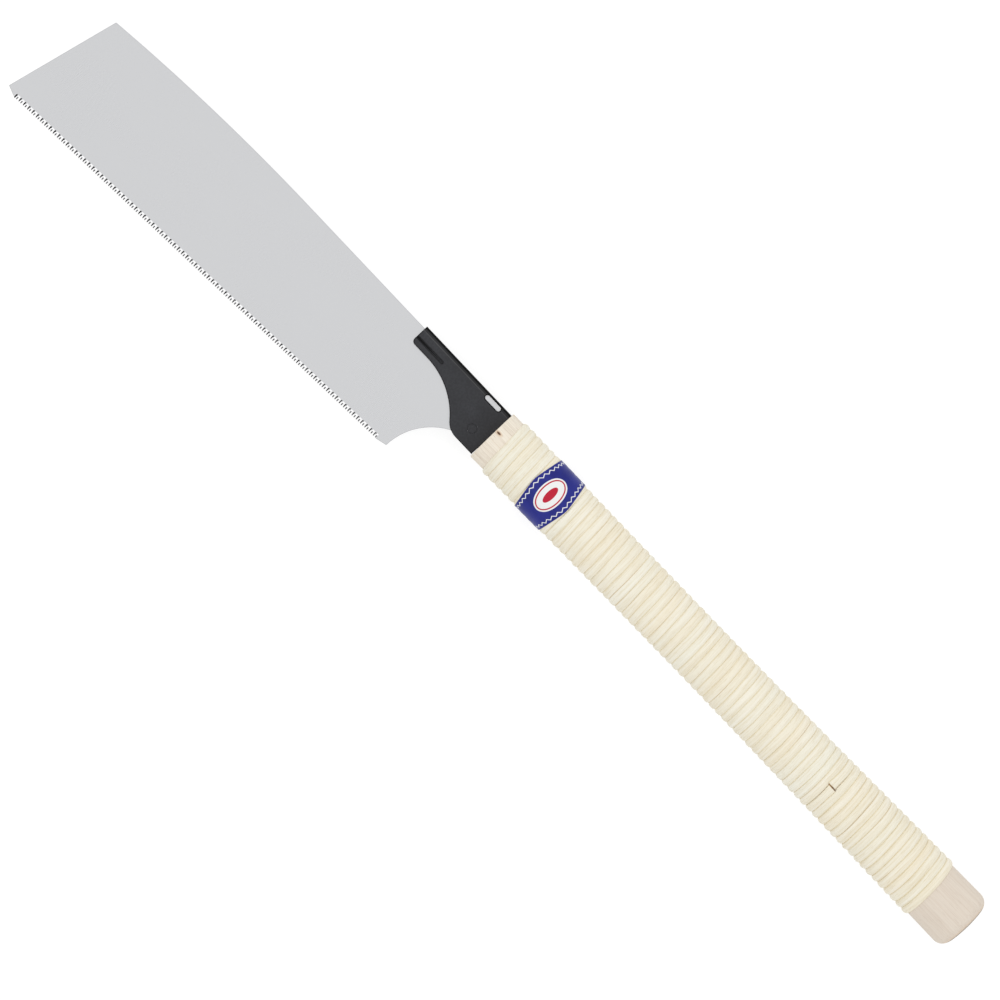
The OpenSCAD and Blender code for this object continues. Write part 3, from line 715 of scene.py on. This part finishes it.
def label_sheet():
    def row(a, xs, out):
        angle = a + math.pi / 2
        stand = REED_FIT + REED_H * CROWN_RISE + out
        return [round_handle(LABEL_X + x, angle, stand - sink_between(LABEL_X + x, angle)) for x in xs]

    rows = []
    fields = {"along": [], "around": [], "margin": []}
    radius = (half_width(LABEL_X) + half_thickness(LABEL_X)) / 2 + REED_H
    for i in range(LABEL_ROWS + 1):
        a = LABEL_TURN * (i / LABEL_ROWS - 0.5)
        reach = label_reach(a)
        xs = [reach * (2 * j / LABEL_COLS - 1) for j in range(LABEL_COLS + 1)]
        rows.append(row(a, xs, LABEL_OUT + LABEL_T) + row(a, xs, LABEL_OUT)[::-1])
        both = xs + xs[::-1]
        to_end = (LABEL_TURN / 2 - abs(a)) * radius
        fields["along"].append(both)
        fields["around"].append([a * radius] * len(both))
        fields["margin"].append([min(reach - abs(x), to_end) for x in xs] + [0.0] * len(xs))
    mesh = closed_mesh("label_sheet", rows, fields)
    shade(mesh, 50)
    finish_piece(new_object("label_sheet", mesh), paper, "label")


label_sheet()


# Floor, light and camera

PAGE_HALF = 30.0
PAGE_DROP = 0.02 * MM
PAGE_GLOW = 0.79
HORIZON = 0.745
ZENITH = 1.075
LAMP_AT = Vector((-1.25, 1.2, 1.0))
LAMP_SIZE = 1.4
LAMP_POWER = 3


def page_material():
    """White page, also in reflections, that keeps a soft shadow under the saw."""
    n = Nodes("page")
    n.tree.nodes.remove(n.shader)
    path = n.add("LightPath").outputs
    seen = n.math("MAXIMUM", path["Is Camera Ray"],
                  n.math("MAXIMUM", path["Is Glossy Ray"], path["Is Transmission Ray"]))
    matte = n.add("BsdfDiffuse", {"Color": rgb(0.80, 0.80, 0.80)})
    faint = n.add("BsdfDiffuse", {"Color": rgb(0.30, 0.30, 0.30)})
    glow = n.add("Emission", {"Color": rgb(1, 1, 1), "Strength": PAGE_GLOW})
    lit = n.add("AddShader", {0: faint.outputs[0], 1: glow.outputs[0]})
    both = n.add("MixShader", {0: seen, 1: matte.outputs[0], 2: lit.outputs[0]})
    n.put(n.tree.nodes["Material Output"].inputs["Surface"], both.outputs[0])
    return n.material


def page():
    mesh = bpy.data.meshes.new("page")
    corners = [(x * PAGE_HALF, y * PAGE_HALF, -PAGE_DROP) for x, y in ((-1, -1), (1, -1), (1, 1), (-1, 1))]
    mesh.from_pydata(corners, [], [(0, 1, 2, 3)])
    mesh.materials.append(page_material())
    new_object("page", mesh)


def lamp():
    data = bpy.data.lights.new("side", "AREA")
    data.shape = "DISK"
    data.size = LAMP_SIZE
    data.energy = LAMP_POWER
    obj = new_object("side", data)
    obj.location = LAMP_AT
    obj.rotation_mode = "QUATERNION"
    obj.rotation_quaternion = (-LAMP_AT).to_track_quat("-Z", "Y")
    obj.visible_glossy = False


def studio_world():
    """Pale dome, brightest overhead and dimmer towards the horizon."""
    world = bpy.data.worlds.new("studio")
    world.use_nodes = True
    tree = world.node_tree
    background = tree.nodes["Background"]
    coords = tree.nodes.new("ShaderNodeTexCoord")
    split = tree.nodes.new("ShaderNodeSeparateXYZ")
    ramp = tree.nodes.new("ShaderNodeMapRange")
    ramp.inputs["From Min"].default_value = 0.0
    ramp.inputs["From Max"].default_value = 1.0
    ramp.inputs["To Min"].default_value = HORIZON
    ramp.inputs["To Max"].default_value = ZENITH
    background.inputs["Color"].default_value = rgb(1, 1, 1)
    tree.links.new(coords.outputs["Generated"], split.inputs[0])
    tree.links.new(split.outputs["Z"], ramp.inputs["Value"])
    tree.links.new(ramp.outputs["Result"], background.inputs["Strength"])
    bpy.context.scene.world = world


def camera():
    data = bpy.data.cameras.new("camera")
    data.sensor_width = SENSOR
    data.lens = SENSOR * VIEW_DISTANCE / VIEW_W
    data.clip_start = 0.05
    data.clip_end = 50
    obj = new_object("camera", data)
    right = Vector((math.cos(VIEW_ANGLE), math.sin(VIEW_ANGLE), 0))
    turn = Matrix((right, UP.cross(right), UP)).transposed()
    obj.matrix_world = Matrix.Translation(VIEW_AT + VIEW_DISTANCE * UP) @ turn.to_4x4()
    bpy.context.scene.camera = obj


page()
studio_world()
lamp()
camera()
bpy.context.scene.view_settings.view_transform = "Standard"
